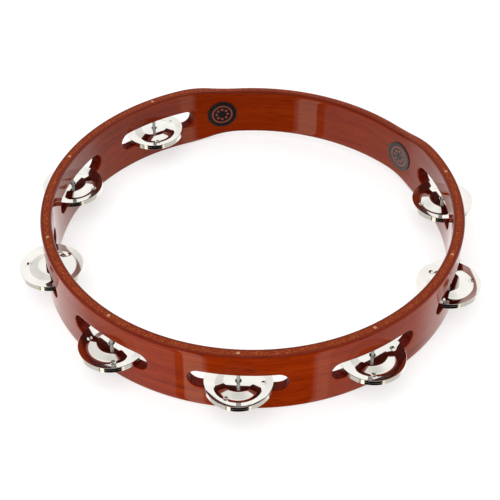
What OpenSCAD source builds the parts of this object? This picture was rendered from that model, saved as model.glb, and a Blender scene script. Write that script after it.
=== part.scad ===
// Headless hand tambourine: a bent wooden hoop with a thinned hand grip, pairs of steel jingles
// loose on upright pins across slots in the wall, filler plugs over the pins and two round badges.
// The origin is on the hoop's axis at the lower rim, +Z runs up the axis and +Y through the grip.

/* [Hoop] */
// Outside diameter of the hoop
hoop_d = 254; // [250:1:280]
// Thickness of the bent wooden wall
wall_t = 6.8; // [6.4:0.1:8]
// Depth of the hoop, from rim to rim
hoop_h = 41; // [40:0.5:48]
// Radius of the softened rim edges
rim_r = 1.2; // [0.5:0.1:2]

/* [Grip] */
// Angle from the middle of the grip to the end of its full cut
grip_angle = 26; // [20:1:28]
// Angle from the middle of the grip to the rim's full depth
ramp_angle = 44; // [40:1:46]
// Height taken off each rim along the grip
grip_cut = 3.5; // [1:0.5:5]
// Radius of the rounded rims along the grip
grip_r = 3; // [1.5:0.1:3.1]

/* [Slots] */
// Places round the hoop, of which the grip takes two
places = 10; // [9:1:10]
// Length of a jingle slot from end to end
slot_l = 55; // [50:1:58]
// Height of a jingle slot
slot_h = 12; // [11:0.5:16]

/* [Pins] */
// Diameter of a jingle pin and of its hole in the wall
pin_d = 2; // [1.6:0.1:2.4]
// Height of the blind end of a pin's hole above the lower rim
pin_foot = 6; // [4:0.5:10]
// Length of the filler plug over a pin
plug_l = 3.5; // [2:0.5:6]

/* [Jingles] */
// Diameter of a jingle
jingle_d = 38; // [36:0.5:41]
// Thickness of the jingle sheet
sheet_t = 0.45; // [0.3:0.05:0.45]
// Height of the turned-down lip round a jingle
lip_h = 1.45; // [1.4:0.05:1.6]
// Fall of the flange from the lip in to the valley round the boss
flange_fall = 0.9; // [0.5:0.05:0.9]
// Rise of the boss from the valley to its flat top
boss_rise = 1.75; // [1.2:0.05:1.9]
// Diameter of the hole in a jingle
hole_d = 3.5; // [3:0.1:4]
// Diameter of the circle that the three dimples lie on
dimple_circle_d = 27.2; // [26.8:0.2:27.6]
// Gap that stays open between loose pieces
play_gap = 0.1; // [0.05:0.05:0.3]

/* [Badges] */
// Diameter of a badge
badge_d = 20; // [12:1:24]
// Thickness of a badge
badge_t = 0.6; // [0.3:0.1:1]
// Angle from the middle of the grip to the middle of a badge
badge_angle = 31.5; // [28:0.5:33]

/* [Hidden] */
$fn = 96;
outer_r = hoop_d / 2;
inner_r = outer_r - wall_t;
mid_r = outer_r - wall_t / 2;
grip_azimuth = 90;
pairs = places - 2;
slot_pitch = 360 / places;
slot_floor = (hoop_h - slot_h) / 2;
cutter_margin = 5;
ramp_start = mid_r * sin(grip_angle);
ramp_end = mid_r * sin(ramp_angle);
ramp_half = (ramp_end - ramp_start) / 2;
ramp_r = (ramp_half * ramp_half + grip_cut * grip_cut / 4) / grip_cut;
jingle_r = jingle_d / 2;
lip_corner_r = 0.5;
valley_outer_r = 0.755 * jingle_r;
valley_inner_r = 0.68 * jingle_r;
boss_top_r = 0.43 * jingle_r;
valley_z = lip_h - flange_fall;
jingle_h = valley_z + boss_rise;
dimple_count = 3;
dimple_depth = 0.2;
dimple_ball_r = 2;
lower_z = slot_floor + play_gap;
upper_z = lower_z + jingle_h + play_gap;

// Pair 1 is the first slot past the grip, counted counter-clockwise seen from above.
function pair_azimuth(i) = grip_azimuth + (i + 0.5) * slot_pitch;

// A rectangle with rounded corners, which stands for a section through the wall.
module wall_section(low, high, corner_r) {
    translate([inner_r, low + corner_r]) square([wall_t, high - low - 2 * corner_r]);
    translate([inner_r + corner_r, low]) square([wall_t - 2 * corner_r, high - low]);
    for (r = [inner_r + corner_r, outer_r - corner_r], z = [low + corner_r, high - corner_r])
        translate([r, z]) circle(corner_r);
}

// Outline of what the grip takes off the upper rim: level in the middle, and an S of two
// equal arcs up to the full rim at each end.
module grip_outline() {
    cut_z = hoop_h - grip_cut;
    translate([-ramp_start, cut_z]) square([2 * ramp_start, grip_cut + cutter_margin]);
    for (side = [0, 1])
        mirror([side, 0]) {
            intersection() {
                translate([ramp_start, cut_z + ramp_r]) circle(ramp_r);
                translate([ramp_start, cut_z]) square([ramp_half, grip_cut + cutter_margin]);
            }
            difference() {
                translate([ramp_start + ramp_half, cut_z]) square([ramp_half, grip_cut + cutter_margin]);
                translate([ramp_end, hoop_h - ramp_r]) circle(ramp_r);
            }
        }
}

// Everything that the grip takes off the upper rim, the rounding of its level part included.
module upper_grip_cut() {
    intersection() {
        rotate([90, 0, 0]) translate([0, 0, -outer_r - cutter_margin])
            linear_extrude(outer_r + cutter_margin) grip_outline();
        translate([-outer_r, 0, 0]) cube([hoop_d, outer_r, hoop_h + 2 * cutter_margin]);
    }
    rotate([0, 0, grip_azimuth - grip_angle]) rotate_extrude(angle = 2 * grip_angle) difference() {
        translate([inner_r - cutter_margin, hoop_h / 2])
            square([wall_t + 2 * cutter_margin, hoop_h / 2 + cutter_margin]);
        translate([inner_r - cutter_margin - 1, 0])
            square([wall_t + 2 * cutter_margin + 2, hoop_h - grip_cut - grip_r]);
        wall_section(grip_cut, hoop_h - grip_cut, grip_r);
    }
}

// A slot's shape, cut square to the wall, with round ends.
module slot_cut() {
    rotate([90, 0, 90]) translate([0, slot_floor + slot_h / 2, inner_r - cutter_margin])
        linear_extrude(wall_t + 2 * cutter_margin) {
            square([slot_l - slot_h, slot_h], center = true);
            for (side = [-1, 1])
                translate([side * (slot_l - slot_h) / 2, 0]) circle(slot_h / 2);
        }
}

module hoop() {
    color("sienna") difference() {
        rotate_extrude() wall_section(0, hoop_h, rim_r);
        upper_grip_cut();
        translate([0, 0, hoop_h]) mirror([0, 0, 1]) upper_grip_cut();
        for (i = [1 : pairs])
            rotate([0, 0, pair_azimuth(i)]) {
                slot_cut();
                translate([mid_r, 0, pin_foot]) cylinder(d = pin_d, h = hoop_h);
            }
    }
}

// A straight steel pin, driven in from the upper rim and across the slot.
module jingle_pin(i) {
    color("silver") rotate([0, 0, pair_azimuth(i)]) translate([mid_r, 0, pin_foot])
        cylinder(d = pin_d, h = hoop_h - plug_l - pin_foot);
}

// The filler that closes a pin's hole, flush with the upper rim.
module pin_plug(i) {
    color("burlywood") rotate([0, 0, pair_azimuth(i)]) translate([mid_r, 0, hoop_h - plug_l])
        cylinder(d = pin_d, h = plug_l);
}

// Half section of a jingle lying on its lip: a turned-down lip, a flange that falls inwards to
// a narrow valley, and a boss with a flat top round the hole.
module jingle_section() {
    difference() {
        union() {
            polygon([
                [0, 0], [jingle_r, 0], [jingle_r, lip_h - lip_corner_r], [jingle_r - lip_corner_r, lip_h],
                [valley_outer_r, valley_z], [valley_inner_r, valley_z],
                [boss_top_r, jingle_h], [0, jingle_h]
            ]);
            translate([jingle_r - lip_corner_r, lip_h - lip_corner_r]) circle(lip_corner_r);
        }
        translate([0, -sheet_t]) polygon([
            [0, 0], [jingle_r - sheet_t, 0], [jingle_r - sheet_t, lip_h],
            [valley_outer_r, valley_z], [valley_inner_r, valley_z],
            [boss_top_r, jingle_h], [0, jingle_h]
        ]);
        translate([0, -1]) square([hole_d / 2, jingle_h + 2]);
    }
}

// One jingle, with three round dimples struck into its valley.
module jingle() {
    color("lightgray") difference() {
        rotate_extrude() jingle_section();
        for (k = [0 : dimple_count - 1])
            rotate([0, 0, k * 360 / dimple_count])
                translate([dimple_circle_d / 2, 0, valley_z + dimple_ball_r - dimple_depth])
                    sphere(dimple_ball_r, $fn = 32);
    }
}

// The lower jingle of a pair, boss down on the slot's floor.
module lower_jingle(i) {
    rotate([0, 0, pair_azimuth(i)]) translate([mid_r, 0, lower_z + jingle_h])
        mirror([0, 0, 1]) jingle();
}

// The upper jingle of a pair, lip to lip on the lower one.
module upper_jingle(i) {
    rotate([0, 0, pair_azimuth(i)]) translate([mid_r, 0, upper_z]) jingle();
}

// A thin round badge that follows the inside of the wall; side is 1 to the left of the grip.
module badge(side) {
    color("black") rotate([0, 0, grip_azimuth + side * badge_angle]) intersection() {
        rotate_extrude() translate([inner_r - badge_t, 0]) square([badge_t, hoop_h]);
        translate([inner_r - cutter_margin, 0, hoop_h / 2]) rotate([0, 90, 0])
            cylinder(d = badge_d, h = 2 * cutter_margin);
    }
}

hoop();
badge(1);  // badge_left
badge(-1);  // badge_right
for (i = [1 : pairs]) {
    jingle_pin(i);
    pin_plug(i);
    lower_jingle(i);
    upper_jingle(i);
}
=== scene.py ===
"""Looks of a headless hand tambourine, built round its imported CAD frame.

Lengths are in metres and angles in degrees, unless a comment says otherwise.
The sections follow the instrument as it is put together: hoop, badges, pins, fillers, jingles.
"""

import bmesh
import bpy
import numpy as np
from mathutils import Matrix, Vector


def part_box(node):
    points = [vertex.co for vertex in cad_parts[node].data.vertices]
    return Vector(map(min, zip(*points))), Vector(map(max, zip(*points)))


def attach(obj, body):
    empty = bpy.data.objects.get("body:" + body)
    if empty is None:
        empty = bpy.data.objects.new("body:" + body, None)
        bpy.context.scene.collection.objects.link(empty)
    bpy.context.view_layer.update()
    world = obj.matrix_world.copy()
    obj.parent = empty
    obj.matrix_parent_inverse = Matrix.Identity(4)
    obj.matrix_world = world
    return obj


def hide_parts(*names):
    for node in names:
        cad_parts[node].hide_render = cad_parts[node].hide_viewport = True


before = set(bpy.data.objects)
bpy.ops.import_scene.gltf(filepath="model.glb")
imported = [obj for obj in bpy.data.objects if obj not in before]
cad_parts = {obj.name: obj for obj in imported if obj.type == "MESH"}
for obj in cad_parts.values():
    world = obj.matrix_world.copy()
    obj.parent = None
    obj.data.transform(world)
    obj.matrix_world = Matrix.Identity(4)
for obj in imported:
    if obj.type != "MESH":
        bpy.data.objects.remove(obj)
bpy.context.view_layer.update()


# ---------------------------------------------------------------------------------------------
# The hoop: one strip of hardwood, steamed and bent into a ring. Eight slots with round ends are
# routed through the wall, both rims are cut down and rounded over along the hand grip, and the
# whole is stained red-brown and finished with clear gloss lacquer.
# ---------------------------------------------------------------------------------------------
hoop_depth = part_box("hoop")[1].z
outer_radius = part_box("hoop")[1].x
pin_boxes = [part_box(f"jingle_pin_{number}") for number in range(1, 9)]
pin_places = [(low + high) / 2 for low, high in pin_boxes]
pin_circle = pin_places[0].xy.length
inner_radius = 2 * pin_circle - outer_radius
slot_azimuths = [np.degrees(np.arctan2(place.y, place.x)) for place in pin_places]
grip_azimuth = 90
tile_angle = 36
grip_tiles = (grip_azimuth - tile_angle / 2, grip_azimuth + tile_angle / 2)
grip_level = 26
grip_end = 44
grip_cut = 0.0035
rim_radius = 0.0012
grip_radius = 0.0030
slot_length = 0.055
slot_height = 0.012


def rim_shape(azimuth):
    """How far each rim is cut down at an azimuth, and the radius of its edges there.

    The cut is level for 26 degrees each way from the middle of the grip, and runs out to
    nothing at 44 degrees along two equal parabolas that join in an S.
    """
    from_grip = np.abs((azimuth - grip_azimuth + 180) % 360 - 180)
    share = np.clip((grip_end - from_grip) / (grip_end - grip_level), 0, 1)
    share = np.where(share < 0.5, 2 * share**2, 1 - 2 * (1 - share) ** 2)
    return grip_cut * share, rim_radius + (grip_radius - rim_radius) * share


def tile_border(columns, side_rows):
    """Border of one tile of the wall, clockwise from its upper left corner.

    Gives the angle from the tile's middle and the side, from +1 on the upper rim to -1 on the
    lower one, at each point.
    """
    down = np.linspace(1, -1, side_rows + 1)[:-1]
    half = tile_angle / 2
    angle = np.concatenate([columns[:-1], half + 0 * down, -columns[:-1], -half + 0 * down])
    side = np.concatenate([1 + 0 * columns[:-1], down, -1 + 0 * columns[:-1], -down])
    return angle, side


def slot_border(grow, straight, corner, side_rows):
    """Outline of a slot grown by an amount: two straight runs joined by two half circles.

    Gives the distance along the wall from the slot's middle, and the height above it, at as
    many points as the tile's border has, in the same order.
    """
    run = np.linspace(-0.5, 0.5, straight + 1)[:-1] * (slot_length - slot_height)
    turns = [
        np.linspace(135, 90, corner + 1)[:-1],
        np.full(straight, 90.0),
        np.linspace(90, 45, corner + 1)[:-1],
        np.linspace(45, -45, side_rows + 1)[:-1],
    ]
    turn = np.radians(np.concatenate(turns))
    centre = np.concatenate([np.full(corner, run[0]), run, np.full(corner + side_rows, -run[0])])
    along = centre + (slot_height / 2 + grow) * np.cos(turn)
    up = (slot_height / 2 + grow) * np.sin(turn)
    return np.concatenate([along, -along], axis=-1), np.concatenate([up, -up], axis=-1)


def ring_points(radius, azimuth, height):
    """Points of the ring from their radius, azimuth in degrees and height, as one array."""
    turn = np.radians(azimuth)
    return np.stack(np.broadcast_arrays(radius * np.cos(turn), radius * np.sin(turn), height), -1)


def slotted_wall(middle, columns, straight, corner, side_rows):
    """Skin of one tile of the wall with its slot, as one closed band of rows.

    The rows run in from the tile's border on the outer face to the slot, round the slot's
    eased edge, through the wall and round the other edge, and out again on the inner face.
    A face's rows are mixed from the border and the slot's outline in equal steps.
    """
    ease = 0.0007
    mix = np.linspace(0, 1, 8)
    bend = np.radians(np.linspace(0, 90, 6))[1:]
    wall = outer_radius - inner_radius
    through = np.linspace(ease, wall - ease, 5)[1:-1]
    depth = np.concatenate([0 * mix, ease * (1 - np.cos(bend)), through])
    depth = np.concatenate([depth, wall - depth[len(mix) + len(bend) - 1 :: -1]])
    grow = np.concatenate([ease + 0 * mix, ease * (1 - np.sin(bend))])
    grow = np.concatenate([grow, 0 * through, grow[::-1]])
    share = np.concatenate([mix, 1 + 0 * bend])
    share = np.concatenate([share, 1 + 0 * through, share[::-1]])[:, None]
    radius = outer_radius - depth[:, None]
    angle, side = tile_border(columns, side_rows)
    cut, edge = rim_shape(middle + angle)
    up = side * (hoop_depth / 2 - cut - edge)
    slot_along, slot_up = slot_border(grow[:, None], straight, corner, side_rows)
    slot_angle = np.degrees(np.arcsin(slot_along / radius))
    angle = (1 - share) * angle + share * slot_angle
    up = (1 - share) * up + share * slot_up
    return ring_points(radius, middle + angle, hoop_depth / 2 + up)


def plain_wall(radius, middle, columns, side_rows):
    """One face of a tile with no slot: rows from the upper rim down to the lower one."""
    side = np.linspace(1, -1, side_rows + 1)[:, None]
    cut, edge = rim_shape(middle + columns)
    up = side * (hoop_depth / 2 - cut - edge)
    return ring_points(radius, middle + columns, hoop_depth / 2 + up)


def rim_strip(side, middle, columns):
    """One rim of a tile: a quarter round from the outer face, a flat, and one to the inner face.

    The flat lies a hair under the full depth, so that the fillers over the pins stand proud.
    """
    arc = np.linspace(0, 90, 7)
    flat = np.linspace(0, 1, 7)[1:-1]
    turn = np.radians(np.concatenate([arc, 90 + 0 * flat, 90 + arc]))[:, None]
    across = np.concatenate([0 * arc, flat, 1 + 0 * arc])[:, None]
    cut, edge = rim_shape(middle + columns)
    foot = (1 - across) * (outer_radius - edge) + across * (inner_radius + edge)
    filler_stand = 0.00004
    up = hoop_depth / 2 - cut - edge + (edge - filler_stand) * np.sin(turn)
    return ring_points(foot + edge * np.cos(turn), middle + columns, hoop_depth / 2 + side * up)


def grid_faces(rows, columns, first, closed=False):
    """Four-cornered faces of a grid of points numbered by rows from first on.

    A closed grid joins its last column to its first.
    """
    row = np.arange(rows - 1)[:, None]
    column = np.arange(columns if closed else columns - 1)[None, :]
    beside = (column + 1) % columns
    corners = [row * columns + column, row * columns + beside]
    corners += [corners[1] + columns, corners[0] + columns]
    return np.stack(corners, -1).reshape(-1, 4) + first


def make_piece(name, grids, material, body, stands_for):
    """One finished piece from grids of points, each a pair of points and whether it is closed.

    Points that meet are merged, faces are turned outwards, and the piece rides on its body.
    """
    points, faces, count = [], [], 0
    for grid, closed in grids:
        rows, columns = grid.shape[:2]
        points.append(grid.reshape(-1, 3))
        faces.append(grid_faces(rows, columns, count, closed))
        count += rows * columns
    mesh = bpy.data.meshes.new(name)
    mesh.from_pydata(np.concatenate(points).tolist(), [], np.concatenate(faces).tolist())
    skin = bmesh.new()
    skin.from_mesh(mesh)
    bmesh.ops.remove_doubles(skin, verts=skin.verts, dist=1e-6)
    bmesh.ops.recalc_face_normals(skin, faces=skin.faces)
    skin.to_mesh(mesh)
    skin.free()
    mesh.shade_smooth()
    mesh.materials.append(material)
    piece = bpy.data.objects.new(name, mesh)
    bpy.context.scene.collection.objects.link(piece)
    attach(piece, body)
    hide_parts(stands_for)


def add(tree, kind, *values, **named):
    """Adds a shader node. Values fill its inputs in order, named ones its settings or inputs.

    A value that is a socket or a node is linked, and a node stands for its first output.
    """
    made = tree.nodes.new("ShaderNode" + kind)
    sockets = [(made.inputs[i], value) for i, value in enumerate(values)]
    for name, value in named.items():
        if name in made.bl_rna.properties:
            setattr(made, name, value)
    for name, value in named.items():
        if name not in made.bl_rna.properties:
            sockets.append((made.inputs[name.replace("_", " ")], value))
    for socket, value in sockets:
        if isinstance(value, bpy.types.Node):
            value = value.outputs[0]
        if isinstance(value, bpy.types.NodeSocket):
            tree.links.new(value, socket)
        elif value is not None:
            socket.default_value = value
    return made


def blend_colour(tree, share, low, high):
    """A colour that runs from low to high as share runs from 0 to 1."""
    made = add(tree, "Mix", data_type="RGBA")
    for socket, value in ((made.inputs[0], share), (made.inputs[6], low), (made.inputs[7], high)):
        if isinstance(value, bpy.types.Node):
            value = value.outputs[0]
        if isinstance(value, bpy.types.NodeSocket):
            tree.links.new(value, socket)
        else:
            socket.default_value = value
    return made.outputs[2]


def ramp(tree, value, low, high):
    """A soft step: 0 where value is under low and 1 where it is over high."""
    return add(tree, "MapRange", value, low, high, 0.0, 1.0, interpolation_type="SMOOTHSTEP")


def new_material(name):
    """An empty procedural material: the material, its node tree and its main shader."""
    material = bpy.data.materials.new(name)
    material.use_nodes = True
    tree = material.node_tree
    return material, tree, tree.nodes["Principled BSDF"]


def ring_noise(tree, place, along, across, radial, **settings):
    """Noise drawn out round the ring, from 0 to 1, with its cells per metre along the ring, up its
    axis and out along its radius. The radius is the noise's fourth coordinate."""
    spread = add(tree, "VectorMath", place, (along, along, across), operation="MULTIPLY")
    plan = add(tree, "VectorMath", place, (1, 1, 0), operation="MULTIPLY")
    length = add(tree, "VectorMath", plan, operation="LENGTH").outputs["Value"]
    radius = add(tree, "Math", length, radial, operation="MULTIPLY")
    settings.update(noise_dimensions="4D", Vector=spread, W=radius, Scale=1.0)
    return add(tree, "TexNoise", **settings)


def make_lacquer_group():
    """The unevenness of a sprayed gloss coat: long soft ripples and a little fine dust."""
    group = bpy.data.node_groups.new("gloss_coat", "ShaderNodeTree")
    group.interface.new_socket("Place", in_out="INPUT", socket_type="NodeSocketVector")
    group.interface.new_socket("Height", in_out="OUTPUT", socket_type="NodeSocketFloat")
    group.interface.new_socket("Haze", in_out="OUTPUT", socket_type="NodeSocketFloat")
    start = group.nodes.new("NodeGroupInput")
    end = group.nodes.new("NodeGroupOutput")
    ripple = add(group, "TexNoise", Vector=start.outputs["Place"], Scale=220.0, Detail=1.0)
    dust = add(group, "TexNoise", Vector=start.outputs["Place"], Scale=2600.0, Detail=1.0)
    speck = ramp(group, dust, 0.68, 0.78)
    height = add(group, "Math", speck, 0.25, ripple, operation="MULTIPLY_ADD")
    group.links.new(height.outputs[0], end.inputs["Height"])
    group.links.new(ramp(group, ripple, 0.45, 0.75).outputs[0], end.inputs["Haze"])
    return group


def use_group(tree, group, **named):
    """Places a node group in a material, with its inputs filled by name."""
    return add(tree, "Group", node_tree=group, **named)


gloss_coat = make_lacquer_group()


wood_dark = (0.280, 0.0210, 0.0014, 1)
wood_light = (0.355, 0.0355, 0.0026, 1)
line_brown = (0.150, 0.0090, 0.0012, 1)
pore_brown = (0.070, 0.0040, 0.0010, 1)
inner_brown = (0.100, 0.0150, 0.0025, 1)
# Painted shade, laid on the rounded edges of the wood.
edge_painted_shade_brown = (0.100, 0.0060, 0.0020, 1)
# On the rims the light colour is their own, and the dark one is painted shade towards their edges.
rim_painted_shade_dark = (0.075, 0.0045, 0.0015, 1)
rim_light = (0.170, 0.0160, 0.0025, 1)
fleck_orange = (0.500, 0.1120, 0.0180, 1)
# Painted shade for the insides of the slots: the grain, darkened.
slot_painted_shade_dark = (0.075, 0.0040, 0.0015, 1)
slot_painted_shade_light = (0.170, 0.0130, 0.0040, 1)


def lacquered_wood():
    """Red-brown stained hardwood under clear gloss, with the grain running round the ring.

    Broad bands and fine lines are noise drawn out round the ring, and pores are short dark
    dashes. The inside of the wall is browner, and the rounded edges are darkened with painted
    shade. The rims show end grain with orange flecks along their middle, and painted shade
    darkens them towards their edges. The insides of the slots are painted dark with shade over
    the grain. Rims and slots have little of the gloss.
    """
    material, tree, shader = new_material("lacquered_wood")
    coordinates = tree.nodes.new("ShaderNodeTexCoord")
    place, normal = coordinates.outputs["Object"], coordinates.outputs["Normal"]
    upward = add(tree, "Math", add(tree, "SeparateXYZ", normal).outputs["Z"], operation="ABSOLUTE")
    outward = add(tree, "VectorMath", place, (1, 1, 0), operation="MULTIPLY")
    radius = add(tree, "VectorMath", outward, operation="LENGTH").outputs["Value"]
    from_centre = add(tree, "Math", radius, -pin_circle, operation="ADD")
    from_centre = add(tree, "Math", from_centre, operation="ABSOLUTE")
    outward = add(tree, "VectorMath", outward, operation="NORMALIZE")
    facing = add(tree, "VectorMath", normal, outward, operation="DOT_PRODUCT").outputs["Value"]
    height = add(tree, "SeparateXYZ", place).outputs["Z"]
    from_middle = add(tree, "Math", height, -hoop_depth / 2, operation="ADD")
    from_middle = add(tree, "Math", from_middle, operation="ABSOLUTE")

    bands = ring_noise(tree, place, 9, 150, 220, Detail=2.0, Roughness=0.55)
    lines = ring_noise(tree, place, 26, 1300, 1500, Detail=3.0, Roughness=0.6)
    pores = ring_noise(tree, place, 90, 2600, 2600, Detail=1.0, Roughness=0.5)
    colour = blend_colour(tree, ramp(tree, bands, 0.25, 0.75), wood_dark, wood_light)
    line_share = add(tree, "Math", ramp(tree, lines, 0.46, 0.72), 0.40, operation="MULTIPLY")
    colour = blend_colour(tree, line_share, colour, line_brown)
    pore_share = add(tree, "Math", ramp(tree, pores, 0.60, 0.68), 0.75, operation="MULTIPLY")
    colour = blend_colour(tree, pore_share, colour, pore_brown)

    # Painted shade: the rounded edges, found by how far their normals point up, are darkened.
    on_painted_edge_shade = add(tree, "Math", ramp(tree, upward, 0.10, 0.60), 0.55, operation="MULTIPLY")
    colour = blend_colour(tree, on_painted_edge_shade, colour, edge_painted_shade_brown)
    speckle = ring_noise(tree, place, 1300, 1500, 2600, Detail=2.0, Roughness=0.6)
    specks = ramp(tree, speckle, 0.47, 0.70)
    mid_rim = ramp(tree, from_centre, 0.0024, 0.0010)
    flecks = add(tree, "Math", specks, mid_rim, operation="MULTIPLY")
    # Painted shade: each rim darkens from its middle out to its edges.
    rim_out_of_painted_shade = ramp(tree, from_centre, 0.0032, 0.0016)
    rim_colour = blend_colour(tree, rim_out_of_painted_shade, rim_painted_shade_dark, rim_light)
    rim_colour = blend_colour(tree, flecks, rim_colour, fleck_orange)
    on_rim = ramp(tree, upward, 0.93, 0.999)
    colour = blend_colour(tree, on_rim, colour, rim_colour)

    inside = add(tree, "Math", ramp(tree, facing, 0.0, -0.5), 0.28, operation="MULTIPLY")
    colour = blend_colour(tree, inside, colour, inner_brown)
    sideways = ramp(tree, add(tree, "Math", facing, operation="ABSOLUTE"), 0.85, 0.35)
    near_slot = ramp(tree, from_middle, 0.0095, 0.0075)
    in_slot = add(tree, "Math", near_slot, sideways, operation="MULTIPLY")
    # Painted shade: inside the slots the wood takes a dark colour streaked with the grain.
    slot_painted_shade_colour = blend_colour(tree, ramp(tree, lines, 0.35, 0.65), slot_painted_shade_dark, slot_painted_shade_light)
    colour = blend_colour(tree, in_slot, colour, slot_painted_shade_colour)
    tree.links.new(colour, shader.inputs["Base Color"])

    bare = add(tree, "Math", on_rim, 0.85, in_slot, operation="MULTIPLY_ADD")
    gloss = add(tree, "MapRange", bare, 0.0, 1.0, 0.85, 0.20)
    gloss = add(tree, "Math", inside, 0.5, gloss, operation="MULTIPLY_ADD")
    tree.links.new(gloss.outputs[0], shader.inputs["Coat Weight"])
    coat = use_group(tree, gloss_coat, Place=place)
    relief = add(tree, "Math", lines, 0.15, coat.outputs["Height"], operation="MULTIPLY_ADD")
    bump = add(tree, "Bump", Strength=0.04, Distance=0.0005, Height=relief)
    tree.links.new(bump.outputs[0], shader.inputs["Normal"])
    rough = add(tree, "MapRange", lines, 0.3, 0.7, 0.5, 0.65)
    tree.links.new(rough.outputs[0], shader.inputs["Roughness"])
    shader.inputs["Coat Roughness"].default_value = 0.03
    shader.inputs["Coat IOR"].default_value = 1.36
    shader.inputs["Specular IOR Level"].default_value = 0.0
    return material


def hoop_grids():
    """All the grids of the hoop's skin, tile by tile: the wall, slotted or plain, and both rims."""
    straight, corner, side_rows = 22, 5, 12
    slot_half = np.degrees(np.arcsin((slot_length - slot_height) / 2 / outer_radius))
    flank = np.linspace(-tile_angle / 2, -slot_half, corner + 1)[:-1]
    run = np.linspace(-slot_half, slot_half, straight + 1)
    columns = np.concatenate([flank, run, -flank[::-1]])
    grids = []
    for middle in slot_azimuths:
        grids.append((slotted_wall(middle, columns, straight, corner, side_rows), True))
    for middle in grip_tiles:
        grids.append((plain_wall(outer_radius, middle, columns, side_rows), False))
        grids.append((plain_wall(inner_radius, middle, columns, side_rows), False))
    for middle in [*slot_azimuths, *grip_tiles]:
        grids.append((rim_strip(1, middle, columns), False))
        grids.append((rim_strip(-1, middle, columns), False))
    return grids


make_piece("hoop_wood", hoop_grids(), lacquered_wood(), "frame", "hoop")


# ---------------------------------------------------------------------------------------------
# The badges: two thin black discs glued to the inside of the wall at the ends of the grip, each
# printed in red-brown with a plain ring and eight dots, one for each pair of jingles.
# ---------------------------------------------------------------------------------------------
badge_radius = (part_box("badge_left")[1].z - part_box("badge_left")[0].z) / 2
badge_thickness = 0.0006
badge_black = (0.010, 0.010, 0.011, 1)
print_brown = (0.300, 0.055, 0.030, 1)


def badge_grid(azimuth):
    """A disc laid on the inside of the wall: rows from its middle out to its rim, then round a
    rounded edge, down to the wood and back to the middle, wrapped on to the ring."""
    turn = np.linspace(0, 2 * np.pi, 73)[None, :-1]
    bend = np.radians(np.linspace(0, 90, 6))
    edge = 0.0003
    face = np.linspace(0, badge_radius - edge, 13)[:-1]
    back = np.linspace(badge_radius, 0, 7)
    reach = np.concatenate([face, badge_radius - edge + edge * np.sin(bend), back])
    bent_lift = badge_thickness - edge + edge * np.cos(bend)
    lift = np.concatenate([0 * face + badge_thickness, bent_lift, 0 * back])
    along = reach[:, None] * np.cos(turn)
    up = reach[:, None] * np.sin(turn)
    radius = inner_radius - lift[:, None] + 0 * turn
    angle = np.degrees(np.arcsin(along / inner_radius))
    return ring_points(radius, azimuth + angle, hoop_depth / 2 + up)


def badge_material(name, azimuth):
    """Gloss black with a red-brown ring and eight dots, drawn from the distance to the badge's
    middle and the angle round it."""
    material, tree, shader = new_material(name)
    place = tree.nodes.new("ShaderNodeTexCoord").outputs["Object"]
    turn = np.radians(azimuth)
    middle = (inner_radius * np.cos(turn), inner_radius * np.sin(turn), hoop_depth / 2)
    offset = add(tree, "VectorMath", place, middle, operation="SUBTRACT")
    sideways = (-np.sin(turn), np.cos(turn), 0)
    along = add(tree, "VectorMath", offset, sideways, operation="DOT_PRODUCT").outputs["Value"]
    up = add(tree, "SeparateXYZ", offset).outputs["Z"]
    flat = add(tree, "CombineXYZ", along, up, 0.0)
    reach = add(tree, "VectorMath", flat, operation="LENGTH").outputs["Value"]
    ring_radius, dots_radius = 0.0066, 0.0038
    from_ring = add(tree, "Math", reach, ring_radius, operation="SUBTRACT")
    from_ring = add(tree, "Math", from_ring, operation="ABSOLUTE")
    ring = ramp(tree, from_ring, 0.0006, 0.0004)
    spacing = np.pi / 4
    angle = add(tree, "Math", up, along, operation="ARCTAN2")
    angle = add(tree, "Math", angle, spacing / 2, operation="ADD")
    folded = add(tree, "Math", angle, spacing, operation="FLOORED_MODULO")
    folded = add(tree, "Math", folded, spacing / 2, operation="SUBTRACT")
    cosine = add(tree, "Math", folded, operation="COSINE")
    sine = add(tree, "Math", folded, operation="SINE")
    dot_x = add(tree, "Math", reach, cosine, operation="MULTIPLY")
    dot_x = add(tree, "Math", dot_x, dots_radius, operation="SUBTRACT")
    dot_y = add(tree, "Math", reach, sine, operation="MULTIPLY")
    from_dot = add(tree, "CombineXYZ", dot_x, dot_y, 0.0)
    near_dot = add(tree, "VectorMath", from_dot, operation="LENGTH").outputs["Value"]
    dots = ramp(tree, near_dot, 0.0010, 0.0008)
    print_share = add(tree, "Math", ring, dots, operation="MAXIMUM")
    colour = blend_colour(tree, print_share, badge_black, print_brown)
    tree.links.new(colour, shader.inputs["Base Color"])
    coat = use_group(tree, gloss_coat, Place=place)
    rough = add(tree, "MapRange", coat.outputs["Haze"], 0.0, 1.0, 0.28, 0.36)
    tree.links.new(rough.outputs[0], shader.inputs["Roughness"])
    height = add(tree, "Math", print_share, 0.5, coat.outputs["Height"], operation="MULTIPLY_ADD")
    bump = add(tree, "Bump", Strength=0.15, Distance=0.0002, Height=height)
    tree.links.new(bump.outputs[0], shader.inputs["Normal"])
    return material


for side_name in ("left", "right"):
    low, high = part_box(f"badge_{side_name}")
    azimuth = np.degrees(np.arctan2(low.y + high.y, low.x + high.x))
    node = f"badge_{side_name}"
    grids = [(badge_grid(azimuth), True)]
    print_material = badge_material(node, azimuth)
    make_piece(f"badge_disc_{side_name}", grids, print_material, "frame", node)


# ---------------------------------------------------------------------------------------------
# The pins: straight lengths of bright drawn steel wire, driven down through the upper rim,
# across the slot and into the wood below.
# ---------------------------------------------------------------------------------------------
# Painted reflection, in part: a near-white, mostly matte wire stands in for the bright jingle faces
# the steel would mirror.
wire_grey_painted_reflection = (0.88, 0.87, 0.85, 1)
wire_white_painted_reflection = (0.98, 0.97, 0.95, 1)


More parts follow.
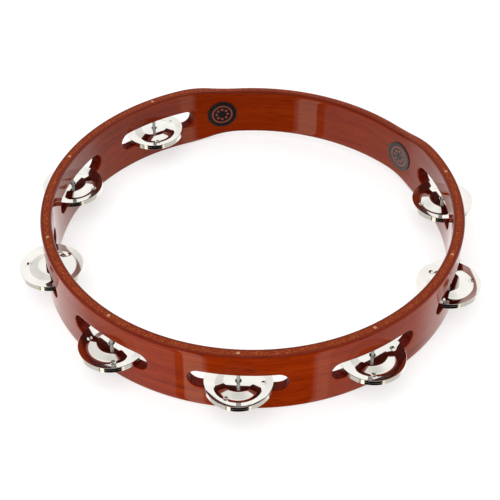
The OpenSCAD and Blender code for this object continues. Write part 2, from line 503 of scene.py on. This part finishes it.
def turned_grid(centre, reach, height, segments):
    """A shape turned on a lathe about an upright line through centre: one row of points for each
    pair of reach and height."""
    turn = np.linspace(0, 2 * np.pi, segments + 1)[None, :-1]
    x = centre.x + reach[:, None] * np.cos(turn)
    y = centre.y + reach[:, None] * np.sin(turn)
    return np.stack([x, y, height[:, None] + 0 * turn], -1)


def drawn_wire():
    """Bright drawn wire: fine lines along its length, which spread its shine sideways. Its
    near-white, mostly matte colour is partly painted reflection.
    """
    material, tree, shader = new_material("pin_steel")
    place = tree.nodes.new("ShaderNodeTexCoord").outputs["Object"]
    along = add(tree, "VectorMath", place, (9000.0, 9000.0, 120.0), operation="MULTIPLY")
    drawn = add(tree, "TexNoise", Vector=along, Scale=1.0, Detail=2.0)
    colour = blend_colour(tree, drawn, wire_grey_painted_reflection, wire_white_painted_reflection)
    tree.links.new(colour, shader.inputs["Base Color"])
    rough = add(tree, "MapRange", drawn, 0.3, 0.7, 0.30, 0.42)
    tree.links.new(rough.outputs[0], shader.inputs["Roughness"])
    bump = add(tree, "Bump", Strength=0.1, Distance=0.0001, Height=drawn)
    tree.links.new(bump.outputs[0], shader.inputs["Normal"])
    shader.inputs["Metallic"].default_value = 0.15
    return material


pin_steel = drawn_wire()
for number, place in enumerate(pin_places, 1):
    low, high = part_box(f"jingle_pin_{number}")
    radius = (high.x - low.x) / 2
    nose = np.radians(np.linspace(0, 90, 6))
    reach = radius * np.concatenate([np.sin(nose), np.cos(nose)])
    reach[[0, -1]] = 0
    nose_depth = 0.4 * radius
    foot = low.z + nose_depth * (1 - np.cos(nose))
    height = np.concatenate([foot, high.z - nose_depth * (1 - np.sin(nose))])
    grids = [(turned_grid(place, reach, height, 32), True)]
    make_piece(f"pin_wire_{number}", grids, pin_steel, "frame", f"jingle_pin_{number}")


# ---------------------------------------------------------------------------------------------
# The fillers: a dab of pale filler closes each pin's hole on the upper rim, sanded nearly flush
# and lacquered over with the wood.
# ---------------------------------------------------------------------------------------------
filler_dark = (0.34, 0.10, 0.03, 1)
filler_light = (0.56, 0.26, 0.10, 1)


def filler_material():
    """Pale, grainy filler under the hoop's gloss coat."""
    material, tree, shader = new_material("wood_filler")
    place = tree.nodes.new("ShaderNodeTexCoord").outputs["Object"]
    grit = add(tree, "TexNoise", Vector=place, Scale=1800.0, Detail=2.0)
    colour = blend_colour(tree, ramp(tree, grit, 0.35, 0.65), filler_dark, filler_light)
    tree.links.new(colour, shader.inputs["Base Color"])
    coat = use_group(tree, gloss_coat, Place=place)
    bump = add(tree, "Bump", Strength=0.1, Distance=0.0002, Height=coat.outputs["Height"])
    tree.links.new(bump.outputs[0], shader.inputs["Normal"])
    rough = add(tree, "MapRange", grit, 0.3, 0.7, 0.4, 0.55)
    tree.links.new(rough.outputs[0], shader.inputs["Roughness"])
    shader.inputs["Coat Weight"].default_value = 0.7
    shader.inputs["Coat Roughness"].default_value = 0.05
    return material


wood_filler = filler_material()
for number, place in enumerate(pin_places, 1):
    low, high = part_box(f"pin_plug_{number}")
    radius = (high.x - low.x) / 2
    dome = np.linspace(0, 1, 7)
    reach = radius * np.concatenate([dome, [1, 0]])
    height = np.concatenate([high.z - 0.00003 * dome**2, [low.z, low.z]])
    grids = [(turned_grid(place, reach, height, 32), True)]
    make_piece(f"filler_{number}", grids, wood_filler, "frame", f"pin_plug_{number}")


# ---------------------------------------------------------------------------------------------
# The jingles: discs stamped from thin steel sheet and nickel plated. Each has a turned-down lip,
# a flange that falls inwards to a valley with three dimples, and a flat-topped boss round a
# loose hole. Two hang on each pin, lip to lip, with their bosses outwards.
# ---------------------------------------------------------------------------------------------
jingle_low, jingle_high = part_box("upper_jingle_1")
jingle_radius = (jingle_high.x - jingle_low.x) / 2
jingle_height = jingle_high.z - jingle_low.z
lip_height = 0.00165
valley_height = 0.00055
sheet = 0.00045
hole_radius = 0.00175
dimple_circle = 0.0136
dimple_radius = 0.0012
nickel_dark = (0.70, 0.685, 0.65, 1)
nickel_light = (0.77, 0.75, 0.71, 1)


def crown(reach):
    """Height of a jingle's upper face above its lip edge: straight slopes between a few corners,
    softened by averaging nine nearby readings."""
    corners = jingle_radius * np.array([0, 0.43, 0.68, 0.755, 1])
    slope = (lip_height - valley_height) / (corners[4] - corners[3])
    heights = [jingle_height, jingle_height, valley_height, valley_height, lip_height]
    beyond = 0.001
    corners = np.append(corners, jingle_radius + beyond)
    heights = np.append(heights, lip_height + slope * beyond)
    softness = 0.00045
    nearby = np.linspace(-1, 1, 9) * softness
    return np.mean([np.interp(reach + step, corners, heights) for step in nearby], axis=0)


def jingle_grid(centre, lip_z, way, turn, lean):
    """The skin of one jingle: out along the upper face from the hole, round the lip, and back
    along the under face. Way is +1 with the boss up and -1 with the boss down.

    The azimuth steps shrink towards the three dimples, which are struck into the valley as
    flat-bottomed dents. Lean is the slope, outwards from the hoop, that the pair hangs at,
    and a leaning pair rides up a little, to stay clear of the slot's edge.
    """
    corner = 0.0002
    shoulder = 76
    hole_edge = 0.0001
    lip_edge = 0.00004
    upper_dent = 0.0005
    under_dent = 0.00012
    step = np.linspace(0, 2 * np.pi, 121)[None, :-1]
    around = step - 0.7 / 3 * np.sin(3 * step)
    out = np.linspace(hole_radius + hole_edge, jingle_radius - corner, 72)
    bend = np.radians(np.linspace(shoulder, 0, 7))[1:]
    back = np.linspace(jingle_radius - sheet - corner, hole_radius, 56)
    inward = np.array([0, 0, 0, lip_edge, sheet - lip_edge, sheet, sheet])
    turned_lip = jingle_radius - corner + corner * np.cos(bend)
    reach = np.concatenate([out, turned_lip, jingle_radius - inward, back])
    top = crown(out)
    foot = top[-1] - corner * np.sin(np.radians(shoulder))
    wall = [foot - 2 * lip_edge, 3 * lip_edge, lip_edge, 0, 0, lip_edge, 3 * lip_edge]
    height = np.concatenate([top, foot + corner * np.sin(bend), wall, crown(back) - sheet])
    reach = np.append(reach, [hole_radius, hole_radius + hole_edge])[:, None] + 0 * around
    height = np.append(height, [top[0] - hole_edge, top[0]])[:, None] + 0 * around
    dent = np.full((len(reach), 1), under_dent)
    dent[: len(out)] = upper_dent
    dent[len(out) : -len(back) - 2] = 0
    for middle in (0, 2 * np.pi / 3, 4 * np.pi / 3):
        away = reach**2 + dimple_circle**2 - 2 * reach * dimple_circle * np.cos(around - middle)
        height = height - dent * np.exp(-((away / dimple_radius**2) ** 2))
    turned = around + np.radians(turn)
    x = centre.x + reach * np.cos(turned)
    y = centre.y + reach * np.sin(turned)
    outward = ((x - centre.x) * centre.x + (y - centre.y) * centre.y) / pin_circle
    ride_up = 0.0008
    tilt = lean * outward + ride_up * abs(lean)
    return np.stack([x, y, lip_z + way * height + tilt], -1)


def make_polish_group():
    """Marks of handling on bright metal: faint scratches, and smears that dull the shine."""
    group = bpy.data.node_groups.new("handled_metal", "ShaderNodeTree")
    group.interface.new_socket("Place", in_out="INPUT", socket_type="NodeSocketVector")
    group.interface.new_socket("Roughness", in_out="OUTPUT", socket_type="NodeSocketFloat")
    group.interface.new_socket("Height", in_out="OUTPUT", socket_type="NodeSocketFloat")
    start = group.nodes.new("NodeGroupInput")
    end = group.nodes.new("NodeGroupOutput")
    smear = add(group, "TexNoise", Vector=start.outputs["Place"], Scale=160.0, Detail=3.0)
    cells = (900.0, 5200.0, 2600.0)
    skew = add(group, "VectorMath", start.outputs["Place"], cells, operation="MULTIPLY")
    scratch = add(group, "TexNoise", Vector=skew, Scale=1.0, Detail=1.0)
    fine = ramp(group, scratch, 0.66, 0.72)
    rough = add(group, "MapRange", smear, 0.35, 0.75, 0.03, 0.09)
    worn = add(group, "Math", fine, 0.08, rough, operation="MULTIPLY_ADD")
    wave = add(group, "TexNoise", Vector=start.outputs["Place"], Scale=420.0, Detail=2.0)
    height = add(group, "Math", fine, -0.1, wave, operation="MULTIPLY_ADD")
    group.links.new(worn.outputs[0], end.inputs["Roughness"])
    group.links.new(height.outputs[0], end.inputs["Height"])
    return group


handled_metal = make_polish_group()


def bright_nickel():
    """Polished plating with handling marks, whose colour drifts a little over the surface."""
    material, tree, shader = new_material("jingle_steel")
    place = tree.nodes.new("ShaderNodeTexCoord").outputs["Object"]
    tint = add(tree, "TexNoise", Vector=place, Scale=90.0, Detail=2.0)
    colour = blend_colour(tree, ramp(tree, tint, 0.35, 0.7), nickel_dark, nickel_light)
    tree.links.new(colour, shader.inputs["Base Color"])
    marks = use_group(tree, handled_metal, Place=place)
    tree.links.new(marks.outputs["Roughness"], shader.inputs["Roughness"])
    bump = add(tree, "Bump", Strength=0.015, Distance=0.0002, Height=marks.outputs["Height"])
    tree.links.new(bump.outputs[0], shader.inputs["Normal"])
    shader.inputs["Metallic"].default_value = 1.0
    return material


jingle_steel = bright_nickel()
jingle_turns = {
    "lower": (10, 95, 40, 70, 25, 5, 60, 100),
    "upper": (65, 10, 72, 59.5, 21.5, 51, 31, 95),
}
jingle_leans = (0, 0, -0.01, 0, 0.01, 0, 0.035, 0.01)
for number, place in enumerate(pin_places, 1):
    for level, way in (("lower", -1), ("upper", 1)):
        node = f"{level}_jingle_{number}"
        low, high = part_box(node)
        lip_z = low.z if way > 0 else high.z
        turn = jingle_turns[level][number - 1]
        lean = jingle_leans[number - 1]
        grids = [(jingle_grid(place, lip_z, way, turn, lean), True)]
        body = f"{level}_{number}"
        make_piece(f"{level}_disc_{number}", grids, jingle_steel, body, node)


# ---------------------------------------------------------------------------------------------
# The studio: a white floor in even white light. Reflections look past the floor to bright
# surroundings behind and beside the object, and to a dim room on the camera's side, with a dark
# gap between bright panels low down.
# ---------------------------------------------------------------------------------------------
camera_azimuth = -68.5
lens_length = 92.64
camera_place = (0.2171, -0.5511, 0.5400)
camera_aim = (0.0057, -0.0186, 0.0205)
back_light = (1.25, 1.25, 1.24, 1)
left_light = (0.95, 0.95, 0.92, 1)
overhead_light = (0.84, 0.84, 0.80, 1)
room_light = (0.18, 0.18, 0.17, 1)
low_side_light = (0.80, 0.78, 0.74, 1)
low_back_light = (1.35, 1.33, 1.30, 1)
gap_light = (0.006, 0.006, 0.006, 1)
panels = ((-43, -39, 0.2), (-38, -28, 2.1), (37, 43, 1.5))


def make_floor():
    """A plain white floor, which reflections look through to the studio beyond."""
    mesh = bpy.data.meshes.new("floor")
    half, level = 3.0, -0.0001
    plan = [(-half, -half), (half, -half), (half, half), (-half, half)]
    corners = [(x, y, level) for x, y in plan]
    mesh.from_pydata(corners, [], [(0, 1, 2, 3)])
    material, _, shader = new_material("floor_white")
    shader.inputs["Base Color"].default_value = (0.50, 0.50, 0.50, 1)
    shader.inputs["Emission Color"].default_value = (1, 1, 1, 1)
    shader.inputs["Emission Strength"].default_value = 0.62
    shader.inputs["Roughness"].default_value = 0.9
    shader.inputs["Specular IOR Level"].default_value = 0.0
    mesh.materials.append(material)
    floor = bpy.data.objects.new("floor", mesh)
    bpy.context.scene.collection.objects.link(floor)
    floor.visible_glossy = False


def make_world():
    """Light seen by direction, from how far it points towards the camera, aside and up.

    High up it is white behind, a little dimmer to the left and overhead, and a dim room on the
    camera's side and low beside the object. Below the horizon it is white behind and pale at the
    sides, with warm upright panels and a dark gap between them; each panel has its first and
    last azimuth in degrees from the camera's, and its brightness.
    """
    world = bpy.data.worlds.new("studio")
    bpy.context.scene.world = world
    world.use_nodes = True
    tree = world.node_tree
    place = tree.nodes.new("ShaderNodeTexCoord").outputs["Generated"]
    turn = np.radians(camera_azimuth)
    towards = (np.cos(turn), np.sin(turn), 0)
    aside = (-np.sin(turn), np.cos(turn), 0)
    forward = add(tree, "VectorMath", place, towards, operation="DOT_PRODUCT").outputs["Value"]
    sideways = add(tree, "VectorMath", place, aside, operation="DOT_PRODUCT").outputs["Value"]
    azimuth = add(tree, "Math", sideways, forward, operation="ARCTAN2")
    height = add(tree, "SeparateXYZ", place).outputs["Z"]
    degree = np.pi / 180

    gap_left = ramp(tree, azimuth, -27 * degree, -24 * degree)
    gap_right = ramp(tree, azimuth, 36 * degree, 33 * degree)
    gap = add(tree, "Math", gap_left, gap_right, operation="MULTIPLY")
    low_light = blend_colour(tree, gap, low_side_light, gap_light)
    low_behind = ramp(tree, forward, -0.10, -0.35)
    low_light = blend_colour(tree, low_behind, low_light, low_back_light)
    for first, last, light in panels:
        rise = ramp(tree, azimuth, (first - 1) * degree, first * degree)
        fall = ramp(tree, azimuth, (last + 1) * degree, last * degree)
        panel = add(tree, "Math", rise, fall, operation="MULTIPLY")
        warm = (light, 0.85 * light, 0.65 * light, 1)
        low_light = blend_colour(tree, panel, low_light, warm)

    left = ramp(tree, sideways, -0.22, -0.42)
    high_light = blend_colour(tree, left, back_light, left_light)
    overhead = ramp(tree, forward, -0.25, 0.0)
    high_light = blend_colour(tree, overhead, high_light, overhead_light)
    in_front = ramp(tree, forward, 0.0, 0.12)
    under_zenith = ramp(tree, height, 0.995, 0.975)
    room = add(tree, "Math", in_front, under_zenith, operation="MULTIPLY")
    not_behind = ramp(tree, forward, -0.50, -0.35)
    flank = add(tree, "Math", not_behind, ramp(tree, height, 0.66, 0.58), operation="MULTIPLY")
    room = add(tree, "Math", room, flank, operation="MAXIMUM")
    high_light = blend_colour(tree, room, high_light, room_light)
    below = ramp(tree, height, 0.05, -0.15)
    colour = blend_colour(tree, below, high_light, low_light)
    tree.links.new(colour, tree.nodes["Background"].inputs["Color"])


def make_lamp():
    """A wide soft box overhead, which lights the floor and the wood but shows in no reflection."""
    light = bpy.data.lights.new("soft_box", "AREA")
    light.size = 2.4
    light.energy = 31
    lamp = bpy.data.objects.new("soft_box", light)
    bpy.context.scene.collection.objects.link(lamp)
    lamp.location = (0.03, -1.08, 1.6)
    lamp.rotation_euler = (-lamp.location).to_track_quat("-Z", "Y").to_euler()
    lamp.visible_glossy = False


make_floor()
make_world()
make_lamp()
bpy.context.scene.view_settings.view_transform = "Standard"

lens = bpy.data.cameras.new("camera")
lens.lens = lens_length
lens.sensor_width = 36
camera = bpy.data.objects.new("camera", lens)
bpy.context.scene.collection.objects.link(camera)
camera.location = camera_place
sight = Vector(camera_aim) - camera.location
camera.rotation_euler = sight.to_track_quat("-Z", "Y").to_euler()
bpy.context.scene.camera = camera
